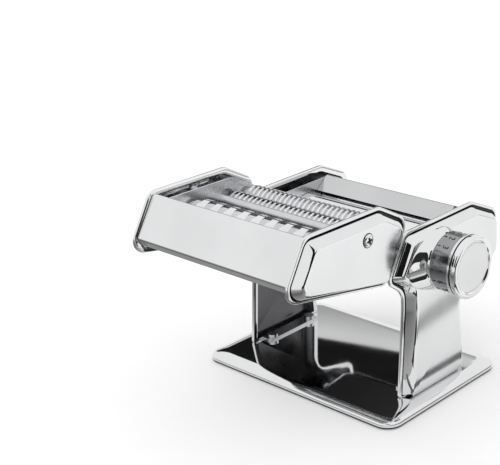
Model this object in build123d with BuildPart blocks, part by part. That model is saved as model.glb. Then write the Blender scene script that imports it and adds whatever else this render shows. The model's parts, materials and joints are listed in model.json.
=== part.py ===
"""Hand-cranked pasta roller machine with a lift-off cutter unit, in millimetres.

+Z is up, +X points to the adjusting knob, -Y to the cutter unit.
The origin is the centre of the base's underside.
"""
import os
from math import acos, atan2, cos, degrees, pi, radians, sin, sqrt, tan

from build123d import *

os.makedirs("parts", exist_ok=True)

# Sheet metal
SHEET = 1.2
SIDE_YZ = Plane.YZ

# Base
BASE_WIDTH, BASE_DEPTH, BASE_TOP = 180.0, 128.0, 7.1
BASE_CORNER = 12.0
FOOT_LIFT = 0.8
FLANGE_TOP = 2.4
SKIRT_RUN = 3.6
MAT_TOP = 2.0

# Side frames and cutter plates: pressed dishes that open inwards
RIM_X, FACE_X = 70.0, 78.2
FLANGE = 2.2
BEVEL = 5.2
FACE_IN = FACE_X - SHEET

# Knob axis and boss
KNOB_Y, KNOB_Z = 7.15, 102.2
BOSS_X = 85.0
BOSS_R = 20.3
BOSS_BASE_Y, BOSS_BASE_Z, BOSS_BASE_R = 0.6, 97.6, 24.0

# Smooth rollers
ROLLER_R = 13.5
ROLLER_Z = 102.2
FRONT_Y = 24.6
GAP_WIDE, GAP_TRAVEL = 2.0, 1.6
REAR_Y = FRONT_Y + 2 * ROLLER_R + GAP_WIDE
ROLLER_HALF = 60.0
JOURNAL_R = 5.0
FIT = 0.05
BUSH_WALL = 2.0

# Bearing plates inside the side frames
PLATE_IN, PLATE_OUT = 60.5, 62.0
BLOCK_OUT = 65.2
GEAR_IN, GEAR_OUT = 66.0, 71.0
PRESSURE = radians(25)

# Adjuster
SHAFT_R = 3.2
CAM_R = 6.0
CAM_SWEEP = 240.0
CAM_GAP = 0.3

# Cutter unit
SLANT_Y, SLANT_Z = 19.5, 31.4
SLANT = sqrt(SLANT_Y ** 2 + SLANT_Z ** 2)
CUTTER_R = 10.0
CUTTER_PITCH = 17.8
CUTTER_ROOT_R = 7.4
CUTTER_HALF = 58.0
CUTTER_JOURNAL_R = 4.0
CUTTER_HUB_R = 6.0
SOCKET_R, SOCKET_DEPTH = 4.0, 11.0
SOCKET_MOUTH = -FACE_X + 0.2
SOCKET_HUB_R = 7.0
WIDE_Y, WIDE_Z = -109.0, 137.0
NARROW_Y, NARROW_Z = -54.5, 131.0
ROD_R = 3.5
SCREW_ROD = (-68.8, 139.2)
CUTTER_RODS = [(-124.0, 122.5), (-54.0, 109.0)]
FRAME_RODS = [(-15.0, 97.5), (72.5, 94.5)]
FRAME_ROD_HALF, CUTTER_ROD_HALF = 75.5, 65.8

# The frames' outline runs on below the base's top and is trimmed there
FOOT_CUT = BASE_TOP - 12.0

# Outlines in (y, z) with the fillet radius of each corner, counter-clockwise from +X
FRAME_OUTLINE = [
    (-23.0, 129.0, 5), (-42.5, 97.6, 2.5), (-26.2, 85.4, 12), (-26.2, 72.0, 40),
    (-32.3, FOOT_CUT, 1), (44.3, FOOT_CUT, 1), (38.4, 66.5, 12), (84.5, 79.0, 7),
    (84.5, 114.5, 5), (54.0, 128.8, 7),
]
CUTTER_OUTLINE = [
    (-122.0, 157.2, 7), (-141.6, 124.6, 6), (-132.0, 115.2, 7), (-43.3, 97.4, 3),
    (-20.8, 133.6, 6), (-26.5, 142.4, 10), (-49.5, 155.4, 7),
]


def save(piece, name, colour):
    """Label a finished piece and write it."""
    piece.part.label = name
    piece.part.color = Color(colour)
    export_step(piece.part, f"parts/{name}.step")


def outline_at(x, outline, distance):
    """An outline as a sketch on the plane at x, moved inwards by a distance."""
    corners = [(y, z) for y, z, _ in outline]
    with BuildSketch(SIDE_YZ.offset(x)) as sketch:
        with BuildLine():
            FilletPolyline(*corners, radius=[r for _, _, r in outline], close=True)
        make_face()
        if distance:
            offset(amount=-distance, kind=Kind.ARC)
    return sketch.sketch


def add_dish(outline):
    """A flanged dish with sloping walls, opening towards -X, in the current part."""
    wall = FACE_X - RIM_X - SHEET
    extrude(outline_at(RIM_X, outline, 0), amount=SHEET)
    extrude(outline_at(RIM_X + SHEET, outline, FLANGE), amount=wall, taper=degrees(atan2(BEVEL, wall)))


def cut_dish(outline):
    """The hollow inside the dish."""
    wall = FACE_IN - RIM_X
    extrude(outline_at(RIM_X, outline, FLANGE + SHEET), amount=wall,
            taper=degrees(atan2(BEVEL, wall)), mode=Mode.SUBTRACT)


def trim_foot():
    """Cut the side frame off flush with the base's top."""
    with BuildSketch(Plane.XY.offset(BASE_TOP)) as below:
        with Locations((RIM_X, 0)):
            Rectangle(60, 200)
    extrude(below.sketch, amount=-40, mode=Mode.SUBTRACT)


def circle_at(x, y, z, radius):
    """A circle as a sketch on the plane at x."""
    with BuildSketch(SIDE_YZ.offset(x)) as circle:
        with Locations((y, z)):
            Circle(radius)
    return circle.sketch


def disc(y, z, radius, x0, x1, mode=Mode.ADD):
    """A cylinder along X between two stations."""
    extrude(circle_at(x0, y, z, radius), amount=x1 - x0, mode=mode)


def sheet_strip(points, thickness, x0, x1):
    """A bent sheet along X, its centre line given in (y, z)."""
    with BuildSketch(SIDE_YZ.offset(x0)) as section:
        with BuildLine():
            line = FilletPolyline(*points, radius=2.0) if len(points) > 2 else Polyline(*points)
        trace(line, line_width=thickness)
    extrude(section.sketch, amount=x1 - x0)


def involute(angle):
    return tan(angle) - angle


def gear_points(teeth, module, backlash, turn, y, z):
    """Corner points of a spur gear about (y, z)."""
    pitch_r = teeth * module / 2
    base_r = pitch_r * cos(PRESSURE)
    root_r, tip_r = pitch_r - 1.3 * module, pitch_r + 0.95 * module
    half = (pi * module / 2 - backlash) / 2 / pitch_r
    flank = []
    for step in range(5):
        r = max(base_r, root_r) + (tip_r - max(base_r, root_r)) * step / 4
        flank.append((r, half + involute(PRESSURE) - involute(acos(min(1, base_r / r)))))
    if root_r < base_r:
        flank.insert(0, (root_r, flank[0][1]))
    points = []
    for tooth in range(teeth):
        middle = turn + 2 * pi * tooth / teeth
        for r, a in flank:
            points.append((y + r * cos(middle - a), z + r * sin(middle - a)))
        for r, a in reversed(flank):
            points.append((y + r * cos(middle + a), z + r * sin(middle + a)))
    return points


def add_gear(teeth, module, backlash, turn, y, z, x0, x1, bore_r):
    with BuildSketch(SIDE_YZ.offset(x0)) as profile:
        with BuildLine():
            Polyline(*gear_points(teeth, module, backlash, turn, y, z), close=True)
        make_face()
        with Locations((y, z)):
            Circle(bore_r, mode=Mode.SUBTRACT)
    extrude(profile.sketch, amount=x1 - x0)


# ---------------------------------------------------------------- base
def base_rect(z, shrink):
    """A rounded rectangle at height z, drawn in from the base's outline."""
    with BuildSketch(Plane.XY.offset(z)) as rect:
        RectangleRounded(BASE_WIDTH - 2 * shrink, BASE_DEPTH - 2 * shrink, BASE_CORNER - shrink)
    return rect.sketch


with BuildPart() as base_plate:
    extrude(base_rect(FOOT_LIFT, 0), amount=FLANGE_TOP - FOOT_LIFT)
    loft([base_rect(FLANGE_TOP, SHEET), base_rect(BASE_TOP, SHEET + SKIRT_RUN)], ruled=True)
    loft([base_rect(FOOT_LIFT, 2 * SHEET), base_rect(BASE_TOP - SHEET, 2 * SHEET + SKIRT_RUN)],
         ruled=True, mode=Mode.SUBTRACT)
save(base_plate, "base_plate", "silver")

# Rubber mat that closes the tray, with pads that reach its underside
with BuildPart() as rubber_base_mat:
    extrude(base_rect(0, 4.6), amount=MAT_TOP)
    with BuildSketch(Plane.XY):
        with GridLocations(BASE_WIDTH - 44, BASE_DEPTH - 40, 2, 2):
            Circle(9)
    extrude(amount=BASE_TOP - SHEET)
save(rubber_base_mat, "rubber_base_mat", "gray20")

# ---------------------------------------------------------------- side frames
with BuildPart() as right_side_frame:
    add_dish(FRAME_OUTLINE)
    loft([circle_at(FACE_IN, BOSS_BASE_Y, BOSS_BASE_Z, BOSS_BASE_R),
          circle_at(BOSS_X, KNOB_Y, KNOB_Z, BOSS_R)])
    cut_dish(FRAME_OUTLINE)
    trim_foot()
    loft([circle_at(FACE_IN - 0.2, BOSS_BASE_Y, BOSS_BASE_Z, BOSS_BASE_R - 2 * SHEET),
          circle_at(BOSS_X - SHEET, KNOB_Y, KNOB_Z, BOSS_R - SHEET)], mode=Mode.SUBTRACT)
    disc(KNOB_Y, KNOB_Z, SHAFT_R + 0.4, FACE_IN, BOSS_X + 1, mode=Mode.SUBTRACT)
save(right_side_frame, "right_side_frame", "silver")

with BuildPart() as left_side_frame:
    add_dish(FRAME_OUTLINE)
    cut_dish(FRAME_OUTLINE)
    trim_foot()
    disc(REAR_Y, ROLLER_Z, SOCKET_HUB_R + 1, FACE_IN - 1, FACE_X + 1, mode=Mode.SUBTRACT)
    mirror(about=Plane.YZ, mode=Mode.REPLACE)
save(left_side_frame, "left_side_frame", "silver")

# Foot plates inside each side frame, screwed down to the base
BRACKET_X, BRACKET_Y = 65.0, (-15.0, 27.0)
BRACKET_THICK = 1.6
FOOT_SCREW_R, FOOT_SCREW_HEAD_R, FOOT_SCREW_HEAD = 2.0, 4.2, 2.6


def foot_circles(z, radius):
    """One circle at each of the four foot screws."""
    with BuildSketch(Plane.XY.offset(z)) as circles:
        with Locations(*[(side * BRACKET_X, y) for side in (-1, 1) for y in BRACKET_Y]):
            Circle(radius)
    return circles.sketch


with BuildPart() as foot_brackets:
    with BuildSketch(Plane.XY.offset(BASE_TOP)):
        with Locations(*[(side * (RIM_X - 1.5), sum(BRACKET_Y) / 2) for side in (-1, 1)]):
            Rectangle(15, BRACKET_Y[1] - BRACKET_Y[0] + 12)
    extrude(amount=BRACKET_THICK)
    extrude(foot_circles(BASE_TOP, FOOT_SCREW_R + 0.1), amount=BRACKET_THICK, mode=Mode.SUBTRACT)
save(foot_brackets, "foot_brackets", "gray60")

with BuildPart() as foot_screws:
    extrude(foot_circles(BASE_TOP, FOOT_SCREW_R), amount=BRACKET_THICK + 0.2)
    extrude(foot_circles(BASE_TOP + BRACKET_THICK, FOOT_SCREW_HEAD_R), amount=FOOT_SCREW_HEAD)
save(foot_screws, "foot_screws", "gray70")

# ---------------------------------------------------------------- bearing plates
BEARING_OUTLINE = [
    (-18.5, 122.5, 4), (-30.0, 103.0, 4), (-22.0, 90.5, 6), (62.0, 80.0, 6),
    (78.0, 86.0, 6), (78.0, 109.5, 5), (50.5, 122.5, 6),
]
BLOCK_Z = 8.0
BLOCK_FRONT = KNOB_Y + CAM_R + CAM_GAP
BLOCK_REAR = FRONT_Y + 8.0
SLOT_END_GAP = GAP_TRAVEL + 0.4


def bearing_plate():
    extrude(outline_at(PLATE_IN, BEARING_OUTLINE, 0), amount=PLATE_OUT - PLATE_IN)
    with BuildSketch(SIDE_YZ.offset(PLATE_IN)) as openings:
        with Locations(((BLOCK_FRONT - 0.4 + BLOCK_REAR + SLOT_END_GAP) / 2, ROLLER_Z)):
            Rectangle(BLOCK_REAR + SLOT_END_GAP - BLOCK_FRONT + 0.4, 2 * BLOCK_Z + 0.4)
        with Locations(*FRAME_RODS):
            Circle(ROD_R)
        with Locations((REAR_Y, ROLLER_Z)):
            Circle(JOURNAL_R + BUSH_WALL)
        with Locations((KNOB_Y, KNOB_Z)):
            Circle(SHAFT_R + FIT)
    extrude(openings.sketch, amount=PLATE_OUT - PLATE_IN, mode=Mode.SUBTRACT)


with BuildPart() as right_bearing_plate:
    bearing_plate()
save(right_bearing_plate, "right_bearing_plate", "gray60")

with BuildPart() as left_bearing_plate:
    bearing_plate()
    mirror(about=Plane.YZ, mode=Mode.REPLACE)
save(left_bearing_plate, "left_bearing_plate", "gray60")

with BuildPart() as frame_tie_rods:
    for y, z in FRAME_RODS:
        disc(y, z, ROD_R, -FRAME_ROD_HALF, FRAME_ROD_HALF)
save(frame_tie_rods, "frame_tie_rods", "gray70")

with BuildPart() as rear_roller_bushes:
    for side in (-1, 1):
        near, far = sorted((side * (PLATE_IN - 0.3), side * (PLATE_OUT + 1.5)))
        disc(REAR_Y, ROLLER_Z, JOURNAL_R + BUSH_WALL, near, far)
        disc(REAR_Y, ROLLER_Z, JOURNAL_R + FIT, near, far, mode=Mode.SUBTRACT)
save(rear_roller_bushes, "rear_roller_bushes", "ivory")

# ---------------------------------------------------------------- covers
COVER_HALF = PLATE_IN - 0.2
RIDGE = (49.0, 123.8)
with BuildPart() as top_cover:
    sheet_strip([(37.4, 114.6), RIDGE, (78.6, 108.6), (78.6, 86.0), (74.0, 82.5)],
                SHEET, -COVER_HALF, COVER_HALF)
save(top_cover, "top_cover", "silver")

with BuildPart() as front_guide_plate:
    sheet_strip([(9.0, 112.0), (-12.0, 108.0), (-27.0, 100.0), (-22.5, 91.0)],
                SHEET, -COVER_HALF, COVER_HALF)
save(front_guide_plate, "front_guide_plate", "silver")

# ---------------------------------------------------------------- smooth rollers
MESH_CENTRES = 2 * ROLLER_R + GAP_WIDE - GAP_TRAVEL
ROLLER_TEETH = 14
ROLLER_MODULE = MESH_CENTRES / ROLLER_TEETH
ROLLER_BACKLASH = 0.5

with BuildPart() as rear_roller:
    disc(REAR_Y, ROLLER_Z, ROLLER_R, -ROLLER_HALF, ROLLER_HALF)
    disc(REAR_Y, ROLLER_Z, JOURNAL_R, -GEAR_OUT, PLATE_OUT + 3)
    disc(REAR_Y, ROLLER_Z, SOCKET_HUB_R, SOCKET_MOUTH, -GEAR_OUT)
    disc(REAR_Y, ROLLER_Z, SOCKET_R, SOCKET_MOUTH, SOCKET_MOUTH + SOCKET_DEPTH,
         mode=Mode.SUBTRACT)
save(rear_roller, "rear_roller", "gray80")

with BuildPart() as front_roller:
    disc(FRONT_Y, ROLLER_Z, ROLLER_R, -ROLLER_HALF, ROLLER_HALF)
    disc(FRONT_Y, ROLLER_Z, JOURNAL_R, -GEAR_OUT, BLOCK_OUT + 1)
save(front_roller, "front_roller", "gray80")

with BuildPart() as rear_roller_gear:
    add_gear(ROLLER_TEETH, ROLLER_MODULE, ROLLER_BACKLASH, 0.0, REAR_Y, ROLLER_Z,
             -GEAR_OUT, -GEAR_IN, JOURNAL_R)
save(rear_roller_gear, "rear_roller_gear", "gray50")

with BuildPart() as front_roller_gear:
    add_gear(ROLLER_TEETH, ROLLER_MODULE, ROLLER_BACKLASH, pi / ROLLER_TEETH, FRONT_Y, ROLLER_Z,
             -GEAR_OUT, -GEAR_IN, JOURNAL_R)
save(front_roller_gear, "front_roller_gear", "gray50")


def slide_block():
    """A bearing block that slides in the plate's slot and is pushed by the cam."""
    with BuildSketch(SIDE_YZ.offset(PLATE_IN)) as block:
        with Locations(((BLOCK_FRONT + BLOCK_REAR) / 2, ROLLER_Z)):
            Rectangle(BLOCK_REAR - BLOCK_FRONT, 2 * BLOCK_Z)
        with Locations((FRONT_Y, ROLLER_Z)):
            Circle(JOURNAL_R + FIT, mode=Mode.SUBTRACT)
    extrude(block.sketch, amount=BLOCK_OUT - PLATE_IN)


with BuildPart() as right_slide_block:
    slide_block()
save(right_slide_block, "right_slide_block", "ivory")

with BuildPart() as left_slide_block:
    slide_block()
    mirror(about=Plane.YZ, mode=Mode.REPLACE)
save(left_slide_block, "left_slide_block", "ivory")

SCRAPER_Z = ROLLER_Z - ROLLER_R - 0.5
with BuildPart() as rear_scraper:
    sheet_strip([(REAR_Y + 0.5, SCRAPER_Z), (REAR_Y + 12, SCRAPER_Z - 2.2)], 0.8,
                -ROLLER_HALF, ROLLER_HALF)
save(rear_scraper, "rear_scraper", "gray70")

with BuildPart() as front_scraper:
    sheet_strip([(FRONT_Y - 0.5, SCRAPER_Z), (FRONT_Y - 12, SCRAPER_Z - 2.2)], 0.8,
                -ROLLER_HALF, ROLLER_HALF)
save(front_scraper, "front_scraper", "gray70")

# ---------------------------------------------------------------- adjuster
CAM_STEPS = 12


def cam_points():
    """A spiral whose reach towards +Y grows as the shaft turns about +X."""
    points = []
    for step in range(CAM_STEPS + 1):
        share = step / CAM_STEPS
        angle = -radians(CAM_SWEEP) * share
        points.append(((CAM_R + GAP_TRAVEL * share) * cos(angle),
                       (CAM_R + GAP_TRAVEL * share) * sin(angle)))
    return points


with BuildPart() as adjuster_shaft:
    disc(KNOB_Y, KNOB_Z, SHAFT_R, -BLOCK_OUT + 0.2, 101.0)
    for x0 in (PLATE_OUT + 0.3, -BLOCK_OUT + 0.3):
        with BuildSketch(Plane(origin=(x0, KNOB_Y, KNOB_Z), x_dir=(0, 1, 0), z_dir=(1, 0, 0))):
            with BuildLine():
                spiral = Spline(*cam_points())
                Line(spiral @ 1, spiral @ 0)
            make_face()
            Circle(5.2)
        extrude(amount=BLOCK_OUT - PLATE_OUT - 0.6)
save(adjuster_shaft, "adjuster_shaft", "gray60")

BARREL_IN, BARREL_OUT = BOSS_X + 0.4, 99.0
BARREL_R, BARREL_NECK_R = 21.0, 20.2
KNOB_BACK, KNOB_FRONT, KNOB_R = 99.0, 107.0, 22.5
KNOB_DISH_R, KNOB_DISH = 16.0, 1.0
with BuildPart() as dial_barrel:
    loft([circle_at(BARREL_IN, KNOB_Y, KNOB_Z, BARREL_R),
          circle_at(BARREL_OUT, KNOB_Y, KNOB_Z, BARREL_NECK_R)])
    disc(KNOB_Y, KNOB_Z, BARREL_R - 2.6, BARREL_IN, BARREL_OUT - 2.0, mode=Mode.SUBTRACT)
    disc(KNOB_Y, KNOB_Z, SHAFT_R + FIT, BARREL_IN, BARREL_OUT, mode=Mode.SUBTRACT)
save(dial_barrel, "dial_barrel", "gray40")

with BuildPart() as adjusting_knob:
    disc(KNOB_Y, KNOB_Z, KNOB_R, KNOB_BACK, KNOB_FRONT)
    fillet(adjusting_knob.edges().filter_by(GeomType.CIRCLE).sort_by(Axis.X)[-1], 3.4)
    fillet(adjusting_knob.edges().filter_by(GeomType.CIRCLE).sort_by(Axis.X)[0], 1.0)
    disc(KNOB_Y, KNOB_Z, KNOB_DISH_R, KNOB_FRONT - KNOB_DISH, KNOB_FRONT, mode=Mode.SUBTRACT)
    disc(KNOB_Y, KNOB_Z, SHAFT_R + FIT, KNOB_BACK, 101.4, mode=Mode.SUBTRACT)
save(adjusting_knob, "adjusting_knob", "silver")

INDEX_OFFSET, INDEX_PIN_R = 14.0, 1.6
with BuildPart() as index_pin:
    disc(KNOB_Y, KNOB_Z + INDEX_OFFSET, INDEX_PIN_R, BOSS_X + 0.3, BARREL_OUT - 2.0)
save(index_pin, "index_pin", "gray70")

SPRING_R, SPRING_WIRE = 6.5, 0.6
with BuildPart() as knob_spring:
    with BuildLine() as coil:
        Helix(pitch=2.4, height=9.2, radius=SPRING_R,
              center=(BOSS_X + 1.2, KNOB_Y, KNOB_Z), direction=(1, 0, 0))
    with BuildSketch(Plane(origin=coil.line @ 0, z_dir=coil.line % 0)):
        Circle(SPRING_WIRE)
    sweep(is_frenet=True)
save(knob_spring, "knob_spring", "gray70")


# ---------------------------------------------------------------- cutter unit
with BuildPart() as right_cutter_plate:
    add_dish(CUTTER_OUTLINE)
    cut_dish(CUTTER_OUTLINE)
    disc(*SCREW_ROD, 2.1, FACE_IN - 1, FACE_X + 1, mode=Mode.SUBTRACT)
save(right_cutter_plate, "right_cutter_plate", "silver")

PAIRS = {"wide": (WIDE_Y, WIDE_Z, 6.5), "narrow": (NARROW_Y, NARROW_Z, 2.2)}
with BuildPart() as left_cutter_plate:
    add_dish(CUTTER_OUTLINE)
    cut_dish(CUTTER_OUTLINE)
    disc(*SCREW_ROD, 2.1, FACE_IN - 1, FACE_X + 1, mode=Mode.SUBTRACT)
    for y, z, _ in PAIRS.values():
        disc(y, z, CUTTER_HUB_R + 1, FACE_IN - 1, FACE_X + 1, mode=Mode.SUBTRACT)
    mirror(about=Plane.YZ, mode=Mode.REPLACE)
save(left_cutter_plate, "left_cutter_plate", "silver")

INNER_IN, INNER_OUT = 61.0, 62.5


def cutter_inner_plate():
    extrude(outline_at(INNER_IN, CUTTER_OUTLINE, 5.5), amount=INNER_OUT - INNER_IN)
    with BuildSketch(SIDE_YZ.offset(INNER_IN)) as holes:
        with Locations(SCREW_ROD, *CUTTER_RODS):
            Circle(ROD_R)
        for y, z, _ in PAIRS.values():
            with Locations((y, z), (y + CUTTER_PITCH, z)):
                Circle(CUTTER_JOURNAL_R + BUSH_WALL)
    extrude(holes.sketch, amount=INNER_OUT - INNER_IN, mode=Mode.SUBTRACT)


with BuildPart() as right_cutter_inner_plate:
    cutter_inner_plate()
save(right_cutter_inner_plate, "right_cutter_inner_plate", "gray60")

with BuildPart() as left_cutter_inner_plate:
    cutter_inner_plate()
    mirror(about=Plane.YZ, mode=Mode.REPLACE)
save(left_cutter_inner_plate, "left_cutter_inner_plate", "gray60")

with BuildPart() as cutter_tie_rods:
    for y, z in CUTTER_RODS:
        disc(y, z, ROD_R, -CUTTER_ROD_HALF, CUTTER_ROD_HALF)
    disc(*SCREW_ROD, ROD_R, -FACE_IN, FACE_IN)
    for x0 in (-FACE_IN, FACE_IN - 10):
        disc(*SCREW_ROD, 2.0, x0, x0 + 10, mode=Mode.SUBTRACT)
save(cutter_tie_rods, "cutter_tie_rods", "gray70")

SCREW_HEAD_R, SCREW_HEAD = 4.9, 1.8
with BuildPart() as cutter_plate_screws:
    disc(*SCREW_ROD, SCREW_HEAD_R, FACE_X, FACE_X + SCREW_HEAD)
    disc(*SCREW_ROD, 2.0, FACE_X - 8, FACE_X)
    mirror(about=Plane.YZ)
    for x0 in (FACE_X + 0.8, -FACE_X - SCREW_HEAD):
        with BuildSketch(Plane(origin=(x0, *SCREW_ROD), x_dir=(0, 1, 0), z_dir=(1, 0, 0))):
            Rectangle(5.2, 1.1)
            Rectangle(1.1, 5.2)
        extrude(amount=SCREW_HEAD - 0.8, mode=Mode.SUBTRACT)
save(cutter_plate_screws, "cutter_plate_screws", "gray80")

GUARD_HALF = 69.2
with BuildPart() as guard_panel:
    sheet_strip([(-116.2, 153.1), (-119.2, 155.0), (-136.6, 127.4), (-133.4, 122.2)],
                1.0, -GUARD_HALF, GUARD_HALF)
save(guard_panel, "guard_panel", "silver")

with BuildPart() as cutter_bushes:
    for y, z, _ in PAIRS.values():
        for centre in (y, y + CUTTER_PITCH):
            for side in (-1, 1):
                near, far = sorted((side * (INNER_IN - 0.3), side * (INNER_OUT + 0.8)))
                disc(centre, z, CUTTER_JOURNAL_R + BUSH_WALL, near, far)
                disc(centre, z, CUTTER_JOURNAL_R + FIT, near, far, mode=Mode.SUBTRACT)
save(cutter_bushes, "cutter_bushes", "ivory")

# Guide rails riveted inside the plates; they slide behind the frame's front flange
RAIL_DIR = (0, SLANT_Y / SLANT, SLANT_Z / SLANT)
RAIL_MIDDLE = (-33.0, 114.0)
with BuildPart() as cutter_rails:
    for x0 in (RIM_X - 3.2, -RIM_X + 0.4):
        with BuildSketch(Plane(origin=(x0, *RAIL_MIDDLE), x_dir=RAIL_DIR, z_dir=(1, 0, 0))):
            Rectangle(24, 9)
        extrude(amount=2.8)
save(cutter_rails, "cutter_rails", "gray60")

CUTTER_TEETH = 11
CUTTER_MODULE = CUTTER_PITCH / CUTTER_TEETH
CUTTER_GEAR_IN, CUTTER_GEAR_OUT = 63.6, 66.2
DISC_PLAY = 0.25


def strips(width):
    """How many noodle strips fit across the cutter, always an odd number."""
    count = int(2 * CUTTER_HALF / width)
    return count if count % 2 else count - 1


def cutter_roller(y, z, width, first, socketed):
    """A grooved cutter roller whose discs stand in every second strip."""
    count = strips(width)
    start = -count * width / 2
    disc(y, z, CUTTER_ROOT_R, -CUTTER_HALF, CUTTER_HALF)
    for i in range(first, count, 2):
        left = start + i * width + DISC_PLAY
        disc(y, z, CUTTER_R, left, left + width - 2 * DISC_PLAY)
    disc(y, z, CUTTER_JOURNAL_R, -CUTTER_GEAR_OUT, INNER_OUT + 2)
    if socketed:
        disc(y, z, CUTTER_HUB_R, SOCKET_MOUTH, -CUTTER_GEAR_OUT)
        disc(y, z, SOCKET_R, SOCKET_MOUTH, SOCKET_MOUTH + SOCKET_DEPTH, mode=Mode.SUBTRACT)


def comb(y, z, width, first, side):
    """A sheet comb under a roller, with fingers standing in the roller's grooves."""
    count = strips(width)
    start = -count * width / 2
    with BuildSketch(Plane.XY.offset(z - 9.4)) as sheet:
        with Locations((0, y + side * 9.5)):
            Rectangle(2 * INNER_IN - 0.4, 7)
        for i in range(1 - first, count, 2):
            with Locations((start + (i + 0.5) * width, y + side * 3.0)):
                Rectangle(width - 0.6, 7.5)
    extrude(sheet.sketch, amount=1.0)


for name, (pair_y, pair_z, strip) in PAIRS.items():
    places = {"front": (pair_y, 0, True), "rear": (pair_y + CUTTER_PITCH, 1, False)}
    for place, (roller_y, first, socketed) in places.items():
        with BuildPart() as roller:
            cutter_roller(roller_y, pair_z, strip, first, socketed)
        save(roller, f"{name}_cutter_{place}", "gray80")
        turn = 0.0 if place == "front" else pi / CUTTER_TEETH + pi
        with BuildPart() as gear:
            add_gear(CUTTER_TEETH, CUTTER_MODULE, 0.4, turn, roller_y, pair_z,
                     -CUTTER_GEAR_OUT, -CUTTER_GEAR_IN, CUTTER_JOURNAL_R)
        save(gear, f"{name}_gear_{place}", "gray50")
        with BuildPart() as fingers:
            comb(roller_y, pair_z, strip, first, -1 if place == "front" else 1)
        save(fingers, f"{name}_comb_{place}", "gray70")
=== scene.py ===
"""Looks for the pasta roller machine: chrome pressings, rollers, dial, studio and camera.

Lengths are millimetres in the shared frame, +X to the knob and -Y to the cutter; the studio's
cards, floor, lights and camera are in metres.
"""
import json
from math import acos, atan2, cos, exp, hypot, pi, radians, sin, tan

import bmesh
import bpy
from mathutils import Matrix, Vector


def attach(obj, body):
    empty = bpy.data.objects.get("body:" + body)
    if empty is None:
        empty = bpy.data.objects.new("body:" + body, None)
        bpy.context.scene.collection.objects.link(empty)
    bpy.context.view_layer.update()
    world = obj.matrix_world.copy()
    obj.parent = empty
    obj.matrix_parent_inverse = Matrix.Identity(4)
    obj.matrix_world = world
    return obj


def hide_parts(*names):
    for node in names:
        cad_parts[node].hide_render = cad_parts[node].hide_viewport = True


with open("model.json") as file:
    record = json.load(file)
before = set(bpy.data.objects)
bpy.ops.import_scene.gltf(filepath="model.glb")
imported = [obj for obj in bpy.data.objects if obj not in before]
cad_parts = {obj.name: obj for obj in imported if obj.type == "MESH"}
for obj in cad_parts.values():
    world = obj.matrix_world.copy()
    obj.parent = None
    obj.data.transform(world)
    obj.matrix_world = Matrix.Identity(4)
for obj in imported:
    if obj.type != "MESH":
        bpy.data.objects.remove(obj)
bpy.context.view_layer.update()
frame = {"nodes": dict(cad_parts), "record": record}
nodes = frame["nodes"]
MM = 0.001

# Design sizes shared with the frame
FACE_X = 78.2
BASE_TOP = 7.1
KNOB_Y, KNOB_Z = 7.15, 102.2
REAR_Y, ROLLER_Z = 53.6, 102.2
WIDE_Y, WIDE_Z = -109.0, 137.0
NARROW_Y, NARROW_Z = -54.5, 131.0
SCREW_ROD = (-68.8, 139.2)
CRANK_HOLE_R, CUTTER_HOLE_R = 8.0, 7.0


# ---------------------------------------------------------------- materials
NOISE_LOW, NOISE_HIGH = 0.3, 0.7       # most of a noise texture lies between these
TONE_SCALE, POLISH_SCALE = 22, 45
GRAIN_DEPTH, MATTE_DEPTH = 0.0002, 0.0003


def new_material(name):
    """A material with its Principled shader, node list and links."""
    material = bpy.data.materials.new(name)
    material.use_nodes = True
    tree = material.node_tree
    return material, tree, tree.nodes["Principled BSDF"]


def noise(tree, scale, detail=3.0, stretch=(1, 1, 1)):
    """Noise in the object's own space, optionally stretched along one axis."""
    place = tree.nodes.new("ShaderNodeTexCoord")
    mapping = tree.nodes.new("ShaderNodeMapping")
    mapping.inputs["Scale"].default_value = stretch
    texture = tree.nodes.new("ShaderNodeTexNoise")
    texture.inputs["Scale"].default_value = scale
    texture.inputs["Detail"].default_value = detail
    tree.links.new(place.outputs["Object"], mapping.inputs["Vector"])
    tree.links.new(mapping.outputs["Vector"], texture.inputs["Vector"])
    return texture.outputs["Fac"]


def ranged(tree, value, low, high):
    """Map a noise value to a low-high range."""
    node = tree.nodes.new("ShaderNodeMapRange")
    node.inputs["From Min"].default_value = NOISE_LOW
    node.inputs["From Max"].default_value = NOISE_HIGH
    node.inputs["To Min"].default_value = low
    node.inputs["To Max"].default_value = high
    tree.links.new(value, node.inputs["Value"])
    return node.outputs["Result"]


def tinted(tree, value, dark, light):
    """Blend between two colours by a noise value."""
    ramp = tree.nodes.new("ShaderNodeValToRGB")
    ramp.color_ramp.elements[0].position = NOISE_LOW
    ramp.color_ramp.elements[0].color = (*dark, 1)
    ramp.color_ramp.elements[1].position = NOISE_HIGH
    ramp.color_ramp.elements[1].color = (*light, 1)
    tree.links.new(value, ramp.inputs["Fac"])
    return ramp.outputs["Color"]


def bumped(tree, shader, height, strength, distance):
    """Raise the surface's fine texture by a height value."""
    node = tree.nodes.new("ShaderNodeBump")
    node.inputs["Strength"].default_value = strength
    node.inputs["Distance"].default_value = distance
    tree.links.new(height, node.inputs["Height"])
    tree.links.new(node.outputs["Normal"], shader.inputs["Normal"])


def metal(name, dark, light, rough, grain=(1, 1, 1), grain_scale=900, bump=0.02):
    """A metal with slight tone drift, uneven polish and fine surface grain."""
    material, tree, shader = new_material(name)
    shader.inputs["Metallic"].default_value = 1.0
    tree.links.new(tinted(tree, noise(tree, TONE_SCALE), dark, light), shader.inputs["Base Color"])
    tree.links.new(ranged(tree, noise(tree, POLISH_SCALE, 4), *rough), shader.inputs["Roughness"])
    bumped(tree, shader, noise(tree, grain_scale, 2, grain), bump, GRAIN_DEPTH)
    return material


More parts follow.
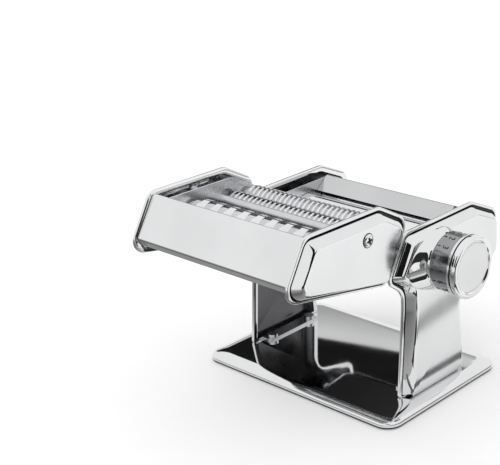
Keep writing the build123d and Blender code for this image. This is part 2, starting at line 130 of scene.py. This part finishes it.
def matte(name, dark, light, rough, scale, bump):
    """A moulded or rubber surface with fine texture."""
    material, tree, shader = new_material(name)
    tree.links.new(tinted(tree, noise(tree, scale), dark, light), shader.inputs["Base Color"])
    tree.links.new(ranged(tree, noise(tree, scale * 2), *rough), shader.inputs["Roughness"])
    bumped(tree, shader, noise(tree, scale * 8), bump, MATTE_DEPTH)
    return material


CHROME = metal("mirror_chrome", (0.74, 0.745, 0.75), (0.80, 0.805, 0.81), (0.03, 0.06), bump=0.006)
SATIN = metal("satin_chrome", (0.73, 0.735, 0.74), (0.78, 0.785, 0.79), (0.10, 0.15),
              (1, 14, 14), 260, 0.015)
COVER = metal("satin_cover", (0.57, 0.575, 0.58), (0.63, 0.635, 0.64), (0.13, 0.19),
              (1, 14, 14), 260, 0.015)
KNOB_FACE = metal("knob_face_chrome", (0.66, 0.665, 0.67), (0.72, 0.72, 0.725), (0.20, 0.26),
                  (1, 12, 12), 300, 0.02)
POLISHED = metal("polished_steel", (0.74, 0.75, 0.76), (0.82, 0.82, 0.83), (0.10, 0.16),
                 (20, 1, 1), 240, 0.02)
BRIGHT = metal("bright_steel", (0.58, 0.59, 0.61), (0.68, 0.69, 0.70), (0.22, 0.32),
               (1, 10, 1), 220, 0.04)
GEAR = metal("gear_steel", (0.36, 0.37, 0.39), (0.48, 0.48, 0.49), (0.30, 0.42),
             (1, 1, 1), 500, 0.08)
DIAL = metal("dial_steel", (0.26, 0.264, 0.27), (0.34, 0.344, 0.35), (0.16, 0.24),
             (1, 9, 9), 260, 0.03)
# painted shade: near-black metal on the hidden insides of the side frames, hopper cover and front
# guard
PAINTED_INSIDE_SHADE = metal("painted_inside_shade", (0.09, 0.09, 0.095), (0.15, 0.15, 0.155), (0.22, 0.34), bump=0.02)
# painted shade: near-black metal for the grooves, screw seats and crosses, and the tray's lip at
# the floor
PAINTED_SHADE = metal("painted_shade_lines", (0.02, 0.02, 0.022), (0.05, 0.05, 0.055), (0.22, 0.35))
MARK = matte("dial_mark_paint", (0.02, 0.02, 0.02), (0.05, 0.05, 0.05), (0.35, 0.5), 300, 0.02)
NYLON = matte("nylon_bush", (0.78, 0.75, 0.66), (0.86, 0.84, 0.76), (0.35, 0.5), 120, 0.05)
RUBBER = matte("mat_rubber", (0.012, 0.012, 0.013), (0.03, 0.03, 0.032), (0.6, 0.8), 160, 0.2)
BY_SLOT = {"chrome_plate": CHROME, "polished_roller": POLISHED, "bright_steel": BRIGHT,
           "gear_steel": GEAR, "dial_steel": DIAL, "nylon": NYLON, "mat_rubber": RUBBER}


# ---------------------------------------------------------------- mesh helpers
CORNER_TIGHTEN = 0.45      # how fast a pressed corner sharpens from the rim to the face
CORNER_ROOM = 0.46         # share of the shorter edge that a corner's arc may take
CORNER_LEAST = 0.3         # smallest corner radius
CURVE_SHARE = 0.45         # share of each edge that a softened corner takes


def inset_corners(outline, distance, shares):
    """Corners of an outline moved inwards; shares scales the move of single edges."""
    count = len(outline)
    lines = []
    for i in range(count):
        (y0, z0, _), (y1, z1, _) = outline[i], outline[(i + 1) % count]
        length = hypot(y1 - y0, z1 - z0)
        ny, nz = -(z1 - z0) / length, (y1 - y0) / length
        lines.append((ny, nz, ny * y0 + nz * z0 + distance * shares.get(i, 1.0)))
    corners = []
    for i in range(count):
        (a, b, c), (d, e, g) = lines[i - 1], lines[i]
        det = a * e - b * d
        corners.append(((c * e - b * g) / det, (a * g - c * d) / det))
    return corners


def rounded(outline, distance=0.0, shares=None, steps=10):
    """Points round an inset outline, with an arc at each corner."""
    corners = inset_corners(outline, distance, shares or {})
    count = len(corners)
    points = []
    for i, corner in enumerate(corners):
        corner = Vector(corner)
        before = Vector(corners[i - 1]) - corner
        after = Vector(corners[(i + 1) % count]) - corner
        room = CORNER_ROOM * min(before.length, after.length)
        before.normalize()
        after.normalize()
        half = acos(max(-1, min(1, before.dot(after)))) / 2
        convex = after.x * before.y - after.y * before.x > 0
        radius = outline[i][2] + (-CORNER_TIGHTEN * distance if convex else distance)
        run = min(max(radius, CORNER_LEAST) / tan(half), room)
        radius = run * tan(half)
        middle = corner + (before + after).normalized() * (radius / sin(half))
        start, end = corner + before * run - middle, corner + after * run - middle
        turn = atan2(start.x * end.y - start.y * end.x, start.dot(end))
        for k in range(steps + 1):
            a = turn * k / steps
            points.append((middle.x + start.x * cos(a) - start.y * sin(a),
                           middle.y + start.x * sin(a) + start.y * cos(a)))
    return points


def finish_mesh(name, bm, material, body, replaced=(), flat=40):
    """Write a bmesh out as a piece that rides on a body; edges over flat degrees are sharp."""
    bmesh.ops.recalc_face_normals(bm, faces=bm.faces)
    mesh = bpy.data.meshes.new(name)
    bm.to_mesh(mesh)
    bm.free()
    mesh.transform(Matrix.Scale(MM, 4))
    piece = bpy.data.objects.new(name, mesh)
    bpy.context.scene.collection.objects.link(piece)
    for item in material if isinstance(material, (list, tuple)) else [material]:
        mesh.materials.append(item)
    mesh.polygons.foreach_set("use_smooth", [True] * len(mesh.polygons))
    mesh.set_sharp_from_angle(angle=radians(flat))
    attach(piece, body)
    if replaced:
        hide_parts(*replaced)
    return piece


def loft(bm, rings, caps=True):
    """Join equal rings of 3D points with quads."""
    layers = [[bm.verts.new(p) for p in ring] for ring in rings]
    for low, high in zip(layers, layers[1:]):
        for i in range(len(low)):
            j = (i + 1) % len(low)
            bm.faces.new((low[i], low[j], high[j], high[i]))
    if caps:
        for layer in (layers[0], layers[-1]):
            bm.faces.new(layer)
    return layers


def circle(x, y, z, r, segments):
    """Points round a circle that faces along X."""
    return [(x, y + r * cos(2 * pi * k / segments), z + r * sin(2 * pi * k / segments))
            for k in range(segments)]


def lathe(bm, profile, y, z, segments=96):
    """Turn (x, radius) points about an axis along X."""
    loft(bm, [circle(x, y, z, r, segments) for x, r in profile])


def softened(points, steps=4):
    """A polyline with each inner corner replaced by a short curve."""
    soft = [points[0]]
    for a, b, c in zip(points, points[1:], points[2:]):
        a, b, c = Vector(a), Vector(b), Vector(c)
        near, far = b.lerp(a, CURVE_SHARE), b.lerp(c, CURVE_SHARE)
        for k in range(steps + 1):
            t = k / steps
            soft.append(tuple(near.lerp(b, t).lerp(b.lerp(far, t), t)))
    return soft + [points[-1]]


# ---------------------------------------------------------------- pressed dishes
# (y, z, corner radius); a fold gives an edge's share of the inset
FRAME_OUTLINE = [
    (-23.0, 129.0, 9), (-42.5, 97.6, 6), (-26.2, 85.4, 14), (-26.2, 72.0, 40),
    (-31.4, BASE_TOP, 2), (43.5, BASE_TOP, 2), (38.4, 66.5, 14), (84.5, 79.0, 9),
    (84.5, 114.5, 10), (54.0, 128.8, 12),
]
FRAME_FOLD = {4: 0.35}     # the foot's edge is folded in less than the others
CUTTER_OUTLINE = [
    (-122.0, 157.2, 10), (-145.6, 117.9, 10.3), (-43.3, 97.4, 7), (-18.2, 137.7, 11),
    (-49.5, 155.4, 12),
]
CUTTER_FOLD = {1: 0.6}     # and so is the cutter plate's lower edge
# (inset, x) over the rim's rolled flange, across the groove, up the wall and on to the face
DISH_FLANGE = softened([(0.6, 70.0), (0.0, 70.4), (0.0, 72.3), (2.0, 72.3)])
DISH_GROOVE = [(2.1, 71.6), (3.2, 71.4)]
DISH_WALL = softened([(3.3, 71.9), (7.4, 78.1), (10.4, 78.2)], 8)
DISH_BACK = [(10.2, 77.0), (8.2, 76.6), (5.4, 73.0), (4.6, 71.0), (4.4, 70.0)]
# the groove's slot holds painted shade, and so does the inside on the side frames
PART_FACE, PART_GROOVE, PART_INSIDE = 1, 2, 3      # material slots after the plain rim
HOLE_STEPS = 48


def joined(bm, low, high):
    """The quads that a loft made between two neighbouring rings."""
    return [bm.faces.get((low[i - 1], low[i], high[i], high[i - 1])) for i in range(len(low))]


def dish(name, outline, side, body, replaced, shares=None, holes=(), inside=SATIN):
    """A pressed plate with a rolled flange, a groove painted dark as shade, sloping wall and satin
    face.
    """
    bm = bmesh.new()
    stations = DISH_BACK + DISH_FLANGE + DISH_GROOVE + DISH_WALL
    rings = [[(side * x, y, z) for y, z in rounded(outline, d, shares)] for d, x in stations]
    layers = loft(bm, rings, caps=False)
    back_end, flange_end = len(DISH_BACK), len(DISH_BACK) + len(DISH_FLANGE)
    for part, first, last in ((PART_INSIDE, 0, back_end - 1),
                              (PART_GROOVE, flange_end - 1, flange_end + 2)):
        for k in range(first, last):
            for face in joined(bm, layers[k], layers[k + 1]):
                face.material_index = part
    rims = []
    for layer, x, finish in ((layers[0], DISH_BACK[0][1], PART_INSIDE),
                             (layers[-1], FACE_X, PART_FACE)):
        edges = [bm.edges.get((layer[i - 1], layer[i])) for i in range(len(layer))]
        for y, z, r in holes:
            rim = [bm.verts.new(p) for p in circle(side * x, y, z, r, HOLE_STEPS)]
            edges += [bm.edges.new((rim[i - 1], rim[i])) for i in range(HOLE_STEPS)]
            rims.append(rim)
        filled = bmesh.ops.triangle_fill(bm, edges=edges, use_beauty=True)
        for face in filled["geom"]:
            if isinstance(face, bmesh.types.BMFace):
                face.material_index = finish
    for back, front in zip(rims, rims[len(holes):]):
        for i in range(HOLE_STEPS):
            bm.faces.new((back[i - 1], back[i], front[i], front[i - 1]))
    return finish_mesh(name, bm, [CHROME, SATIN, PAINTED_SHADE, inside], body, replaced, flat=50)


# the side frames' insides take painted shade
dish("right_frame_shell", FRAME_OUTLINE, 1, "frame", ["right_side_frame"], FRAME_FOLD,
     (), PAINTED_INSIDE_SHADE)
dish("left_frame_shell", FRAME_OUTLINE, -1, "frame", ["left_side_frame"], FRAME_FOLD,
     [(REAR_Y, ROLLER_Z, CRANK_HOLE_R)], PAINTED_INSIDE_SHADE)
dish("right_cutter_shell", CUTTER_OUTLINE, 1, "cutter_unit", ["right_cutter_plate"],
     CUTTER_FOLD)
dish("left_cutter_shell", CUTTER_OUTLINE, -1, "cutter_unit", ["left_cutter_plate"],
     CUTTER_FOLD, [(WIDE_Y, WIDE_Z, CUTTER_HOLE_R), (NARROW_Y, NARROW_Z, CUTTER_HOLE_R)])

# Boss around the knob: a flare that reaches furthest towards the front and draws in to the dial
BOSS_R, BOSS_STEPS = 20.3, 128
BOSS_SPREAD, BOSS_REACH = 1.9, 12.0
BOSS_FRONT, BOSS_ABOVE, BOSS_BELOW = radians(186), radians(45), radians(32)
# (share of the way from the foot to the dial's circle, x), from a foot sunk in the plate
BOSS_RISE = [(0.0, 77.4)] + softened([(0.0, 78.1), (0.02, 78.6), (0.45, 80.6), (0.9, 82.9),
                                      (1.0, 84.4), (1.0, 85.0)], 6)


def boss():
    """The flare, whose foot spreads by a bell curve about its furthest reach."""
    bm = bmesh.new()
    angles = [2 * pi * k / BOSS_STEPS for k in range(BOSS_STEPS)]
    rings = []
    for share, x in BOSS_RISE:
        ring = []
        for a in angles:
            off = a - BOSS_FRONT
            width = BOSS_ABOVE if off < 0 else BOSS_BELOW
            foot = BOSS_SPREAD + BOSS_REACH * exp(-(off / width) ** 2)
            r = BOSS_R + foot * (1 - share)
            ring.append((x, KNOB_Y + r * cos(a), KNOB_Z + r * sin(a)))
        rings.append(ring)
    loft(bm, rings)
    return finish_mesh("knob_boss", bm, CHROME, "frame", flat=60)


boss()

# ---------------------------------------------------------------- base
BASE_OUTLINE = [(-90, -64, 12), (90, -64, 12), (90, 64, 12), (-90, 64, 12)]
# (inset, z) round the lip, up the skirt above it, and down the tray's inside
BASE_LIP = [(0.6, 0.8), (0.1, 0.9), (0.1, 2.0)]
BASE_SKIRT = softened([(0.0, 2.1), (0.1, 4.0), (1.4, 5.4), (5.4, 6.6), (9.4, 7.1)], 6)
BASE_BACK = [(9.0, 5.9), (6.0, 5.7), (3.4, 3.6), (2.2, 0.8)]
LEVEL = 0.9                # a face whose normal's z is above this lies level


def base():
    """The tray: a thin plate with a rolled skirt and a lip painted dark as shade."""
    bm = bmesh.new()
    loft(bm, [[(x, y, z) for x, y in rounded(BASE_OUTLINE, d)]
              for d, z in BASE_BACK + BASE_LIP + BASE_SKIRT])
    # the lip's upright faces take painted shade, for the gap at the floor
    for face in bm.faces:
        if face.calc_center_median().z < BASE_LIP[-1][1] and abs(face.normal.z) < LEVEL:
            face.material_index = 1
    return finish_mesh("base_tray", bm, [CHROME, PAINTED_SHADE], "frame", ["base_plate"], flat=50)


base()

# ---------------------------------------------------------------- knob and dial
# (x, radius) round the cap and round the barrel, each starting at the shaft
KNOB_PROFILE = softened([(99.3, 3.3), (99.3, 21.9), (99.9, 22.4), (101.4, 22.4), (101.7, 21.5),
                         (102.2, 21.4), (102.6, 22.4), (105.6, 22.4), (106.9, 21.0), (106.9, 19.2),
                         (105.7, 17.4), (105.2, 14.6), (105.1, 3.0)], 6)
KNOB_FACE_R, KNOB_FACE_X = 17.6, 104.0
# x span of the cap's groove, which is painted dark as shade
KNOB_GROOVE = (101.5, 102.5)
BARREL_PROFILE = softened([(97.0, 3.3), (99.1, 3.4), (99.1, 20.2), (97.6, 20.3), (86.6, 20.9),
                           (85.4, 20.9), (85.4, 18.6), (97.0, 18.4)], 3)


def knob():
    """The knob's cap, with its face marked off and its groove painted dark as shade, and the
    numbered barrel.
    """
    bm = bmesh.new()
    lathe(bm, KNOB_PROFILE, KNOB_Y, KNOB_Z)
    bm.faces.ensure_lookup_table()
    for face in bm.faces:
        centre = face.calc_center_median()
        reach = hypot(centre.y - KNOB_Y, centre.z - KNOB_Z)
        if reach < KNOB_FACE_R and centre.x > KNOB_FACE_X:
            face.material_index = 1
        elif KNOB_GROOVE[0] < centre.x < KNOB_GROOVE[1]:
            face.material_index = 2
    finish_mesh("knob_cap", bm, [CHROME, KNOB_FACE, PAINTED_SHADE], "knob", ["adjusting_knob"], flat=60)
    bm = bmesh.new()
    lathe(bm, BARREL_PROFILE, KNOB_Y, KNOB_Z)
    finish_mesh("numbered_barrel", bm, DIAL, "knob", ["dial_barrel"])


knob()
DIAL_NUMBERS = 10
DIAL_STEP = radians(24)
DIAL_START = radians(58)
DIGIT_SIZE, DIGIT_DEPTH = 6.2, 0.25
DIGIT_X, DIGIT_R = 92.6, 20.55
TICK_X, TICK_R = 87.6, 20.8
TICK_SIZE, TICK_BEVEL = (2.4, 0.7, 0.7), 0.12


def dial_marks():
    """Numbers 0 to 9 round the barrel and a tick beside each."""
    for number in range(DIAL_NUMBERS):
        angle = DIAL_START + number * DIAL_STEP
        out = Vector((0, cos(angle), sin(angle)))
        around = Vector((0, -sin(angle), cos(angle)))
        along = Vector((1, 0, 0))
        text = bpy.data.curves.new(f"dial_number_{number}", "FONT")
        text.body = str(number)
        text.size = DIGIT_SIZE * MM
        text.align_x = "CENTER"
        text.align_y = "CENTER"
        text.extrude = DIGIT_DEPTH * MM
        piece = bpy.data.objects.new(f"dial_number_{number}", text)
        bpy.context.scene.collection.objects.link(piece)
        seat = (Vector((DIGIT_X, KNOB_Y, KNOB_Z)) + out * DIGIT_R) * MM
        turn = Matrix((around, along, out)).transposed().to_4x4()
        piece.matrix_world = Matrix.Translation(seat) @ turn
        text.materials.append(MARK)
        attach(piece, "knob")
        bm = bmesh.new()
        bmesh.ops.create_cube(bm, size=1.0)
        bmesh.ops.bevel(bm, geom=bm.edges[:], offset=TICK_BEVEL, segments=2, affect="EDGES")
        bmesh.ops.scale(bm, vec=TICK_SIZE, verts=bm.verts)
        seat = Vector((TICK_X, KNOB_Y, KNOB_Z)) + out * TICK_R
        turn = Matrix((along, around, out)).transposed().to_4x4()
        bmesh.ops.transform(bm, matrix=Matrix.Translation(seat) @ turn, verts=bm.verts)
        finish_mesh(f"dial_tick_{number}", bm, MARK, "knob")


dial_marks()

# ---------------------------------------------------------------- screws
SCREW_HEAD = softened([(FACE_X - 0.6, 5.1), (FACE_X + 0.3, 5.1), (FACE_X + 0.3, 4.5),
                       (FACE_X + 0.7, 4.4), (FACE_X + 1.3, 3.2), (FACE_X + 1.5, 0.6)])
# the seat ring outside this radius is painted shade
SCREW_SEAT_R = 4.5         # the dark ring lies outside this radius
CROSS_LONG, CROSS_WIDE, CROSS_DEEP = 4.6, 1.2, 0.5
CROSS_RISE, CROSS_TURN = 1.55, 0.2


def plate_screws():
    """Domed cross-head screws, with the seat ring and cross recess painted dark as shade."""
    for side, name in ((1, "right"), (-1, "left")):
        bm = bmesh.new()
        profile = [(side * x, r) for x, r in SCREW_HEAD]
        lathe(bm, profile, *SCREW_ROD, 48)
        for face in bm.faces:
            centre = face.calc_center_median()
            if hypot(centre.y - SCREW_ROD[0], centre.z - SCREW_ROD[1]) > SCREW_SEAT_R:
                face.material_index = 1
        for y_size, z_size in ((CROSS_LONG, CROSS_WIDE), (CROSS_WIDE, CROSS_LONG)):
            made = bmesh.ops.create_cube(bm, size=1.0)["verts"]
            bmesh.ops.scale(bm, vec=(CROSS_DEEP, y_size, z_size), verts=made)
            bmesh.ops.rotate(bm, cent=(0, 0, 0), matrix=Matrix.Rotation(CROSS_TURN, 3, "X"),
                             verts=made)
            bmesh.ops.translate(bm, vec=(side * (FACE_X + CROSS_RISE), *SCREW_ROD), verts=made)
            # the cross recess takes painted shade
            for face in {f for v in made for f in v.link_faces}:
                face.material_index = 1
        finish_mesh(f"{name}_plate_screw", bm, [SATIN, PAINTED_SHADE], "cutter_unit",
                    ["cutter_plate_screws"], 40)


plate_screws()

# ---------------------------------------------------------------- sheets with painted shade inside
OUTSIDE_LIMIT = -0.1       # faces that lean less far back than this are polished


def lined(node, name, body, outward, outside):
    """The node's own sheet, polished on the side that faces outward and painted dark as shade on
    the other.
    """
    mesh = nodes[node].data.copy()
    mesh.name = name
    piece = bpy.data.objects.new(name, mesh)
    piece.matrix_world = nodes[node].matrix_world.copy()
    bpy.context.scene.collection.objects.link(piece)
    mesh.materials.clear()
    for item in (outside, PAINTED_INSIDE_SHADE):
        mesh.materials.append(item)
    for face in mesh.polygons:
        face.material_index = 0 if face.normal.dot(Vector(outward)) > OUTSIDE_LIMIT else 1
    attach(piece, body)
    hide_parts(node)


lined("top_cover", "hopper_cover", "frame", (0, 0.3, 1), COVER)
lined("guard_panel", "front_guard", "cutter_unit", (0, -1, 0.2), SATIN)

# ---------------------------------------------------------------- CAD nodes kept as they are
slots = {s["node"]: s["material_slot"] for s in frame["record"]["subparts"]}
SATIN_NODES = ("front_guide_plate",)
for name, node in nodes.items():
    node.data.materials.clear()
    node.data.materials.append(SATIN if name in SATIN_NODES else BY_SLOT[slots[name]])


# ---------------------------------------------------------------- studio
CARD_THICKNESS = 0.001
FLOOR_HALF, FLOOR_TONE, FLOOR_GLOW = 6, 0.72, 0.28
LIGHT_AIM = Vector((0, -0.03, 0.08))


def card(name, low, high, stops, axis="X"):
    """A flat card that only reflections see, with (share, value) stops along one axis."""
    bm = bmesh.new()
    bmesh.ops.create_cube(bm, size=1.0)
    mesh = bpy.data.meshes.new(name)
    size = [max(b - a, CARD_THICKNESS) for a, b in zip(low, high)]
    middle = [(a + b) / 2 for a, b in zip(low, high)]
    bmesh.ops.scale(bm, vec=size, verts=bm.verts)
    bmesh.ops.translate(bm, vec=middle, verts=bm.verts)
    bm.to_mesh(mesh)
    bm.free()
    panel = bpy.data.objects.new(name, mesh)
    bpy.context.scene.collection.objects.link(panel)
    material, tree, shader = new_material(name)
    shader.inputs["Base Color"].default_value = (0, 0, 0, 1)
    shader.inputs["Roughness"].default_value = 1.0
    shader.inputs["Specular IOR Level"].default_value = 0.0
    shader.inputs["Emission Strength"].default_value = 1.0
    place = tree.nodes.new("ShaderNodeTexCoord")
    split = tree.nodes.new("ShaderNodeSeparateXYZ")
    shade = tree.nodes.new("ShaderNodeValToRGB")
    shade.color_ramp.interpolation = "EASE"
    ends = shade.color_ramp.elements
    while len(ends) < len(stops):
        ends.new(0.5)
    for end, (share, value) in zip(ends, stops):
        end.position = share
        end.color = (value, value, value, 1)
    tree.links.new(place.outputs["Generated"], split.inputs["Vector"])
    tree.links.new(split.outputs[axis], shade.inputs["Fac"])
    tree.links.new(shade.outputs["Color"], shader.inputs["Emission Color"])
    mesh.materials.append(material)
    panel.visible_camera = False
    panel.visible_diffuse = False
    panel.visible_shadow = False


def studio():
    """White floor and world, the cards that shape the reflections, and two soft lights."""
    bm = bmesh.new()
    bmesh.ops.create_grid(bm, x_segments=1, y_segments=1, size=FLOOR_HALF)
    mesh = bpy.data.meshes.new("studio_floor")
    bm.to_mesh(mesh)
    bm.free()
    floor = bpy.data.objects.new("studio_floor", mesh)
    bpy.context.scene.collection.objects.link(floor)
    material, _, shader = new_material("studio_floor")
    shader.inputs["Base Color"].default_value = (FLOOR_TONE, FLOOR_TONE, FLOOR_TONE, 1)
    shader.inputs["Roughness"].default_value = 0.9
    shader.inputs["Emission Color"].default_value = (1, 1, 1, 1)
    shader.inputs["Emission Strength"].default_value = FLOOR_GLOW
    mesh.materials.append(material)

    world = bpy.data.worlds.new("studio")
    bpy.context.scene.world = world
    world.use_nodes = True
    background = world.node_tree.nodes["Background"]
    background.inputs["Color"].default_value = (1, 1, 1, 1)
    background.inputs["Strength"].default_value = 1.0

    # flags darken a reflection and the panel brightens one: they give the chrome its lines
    card("flag_right", (1.2, -1.0, 0.0), (1.2, 0.4, 0.42), [(0, 0.01), (1, 0.03)], "Y")
    card("flag_floor_right", (0.13, -0.08, 0.003), (0.9, -0.05, 0.003),
         [(0, 0.02), (1, 0.02)])
    card("flag_floor_front", (-1.5, -3.0, 0.002), (1.5, -0.067, 0.002),
         [(0, 1.0), (0.511, 0.8), (0.784, 0.5), (0.886, 0.3), (0.938, 0.15), (0.972, 0.28),
          (1, 0.45)], "Y")
    card("flag_floor_boss", (0.18, -0.05, 0.003), (0.6, 0.045, 0.003),
         [(0, 0.02), (0.107, 0.03), (0.167, 0.95), (0.238, 0.4), (0.369, 0.3), (0.417, 0.02),
          (0.464, 0.6), (1, 0.9)])
    card("flag_floor_band", (0.149, 0.05, 0.002), (0.168, 0.19, 0.002),
         [(0, 0.4), (1, 0.4)])
    card("flag_skirt_right", (0.0905, -0.07, 0.004), (0.095, 0.075, 0.004),
         [(0, 0.1), (1, 0.2)])
    card("flag_left_rear", (-1.05, 0.5, 0.2), (-0.2, 0.5, 0.52),
         [(0, 0.42), (0.4, 0.72), (0.43, 0.01), (1, 0.01)], "Z")
    card("flag_under", (-0.066, 0.0, 0.086), (0.066, 0.075, 0.086), [(0, 0.015), (1, 0.03)])
    card("flag_neck", (0.095, -0.132, 0.13), (0.2, -0.132, 0.25), [(0, 0.01), (1, 0.01)])
    card("panel_right_rear", (0.4, 1.2, 0.0), (1.9, 1.2, 0.42),
         [(0, 0.35), (0.35, 0.8), (0.7, 1.2), (1, 1.2)], "Z")

    for name, spot, size, power in (("key", (-0.9, -1.1, 1.6), 1.4, 5),
                                    ("fill", (1.4, -0.5, 1.3), 1.0, 2)):
        light = bpy.data.lights.new(name, "AREA")
        light.size = size
        light.energy = power
        lamp = bpy.data.objects.new(name, light)
        lamp.location = spot
        lamp.visible_glossy = False
        aim = LIGHT_AIM - Vector(spot)
        lamp.rotation_euler = aim.to_track_quat("-Z", "Y").to_euler()
        bpy.context.scene.collection.objects.link(lamp)


SENSOR_WIDTH, FOCAL_LENGTH = 36, 91.73
EYE = Vector((0.5657, -0.6521, 0.4395))
AZIMUTH, ELEVATION, ROLL = radians(45.55), radians(20.98), radians(-3.28)


def camera():
    """The viewing angle: right, up and back are the camera's axes before it rolls."""
    lens = bpy.data.cameras.new("camera")
    lens.sensor_width = SENSOR_WIDTH
    lens.lens = FOCAL_LENGTH
    eye = bpy.data.objects.new("camera", lens)
    back = Vector((sin(AZIMUTH) * cos(ELEVATION), -cos(AZIMUTH) * cos(ELEVATION),
                   sin(ELEVATION)))
    right = Vector((cos(AZIMUTH), sin(AZIMUTH), 0))
    up = back.cross(right)
    tilted = right * cos(ROLL) + up * sin(ROLL)
    upright = up * cos(ROLL) - right * sin(ROLL)
    turn = Matrix((tilted, upright, back)).transposed().to_4x4()
    eye.matrix_world = Matrix.Translation(EYE) @ turn
    bpy.context.scene.collection.objects.link(eye)
    bpy.context.scene.camera = eye


studio()
camera()
bpy.context.scene.view_settings.view_transform = "Standard"
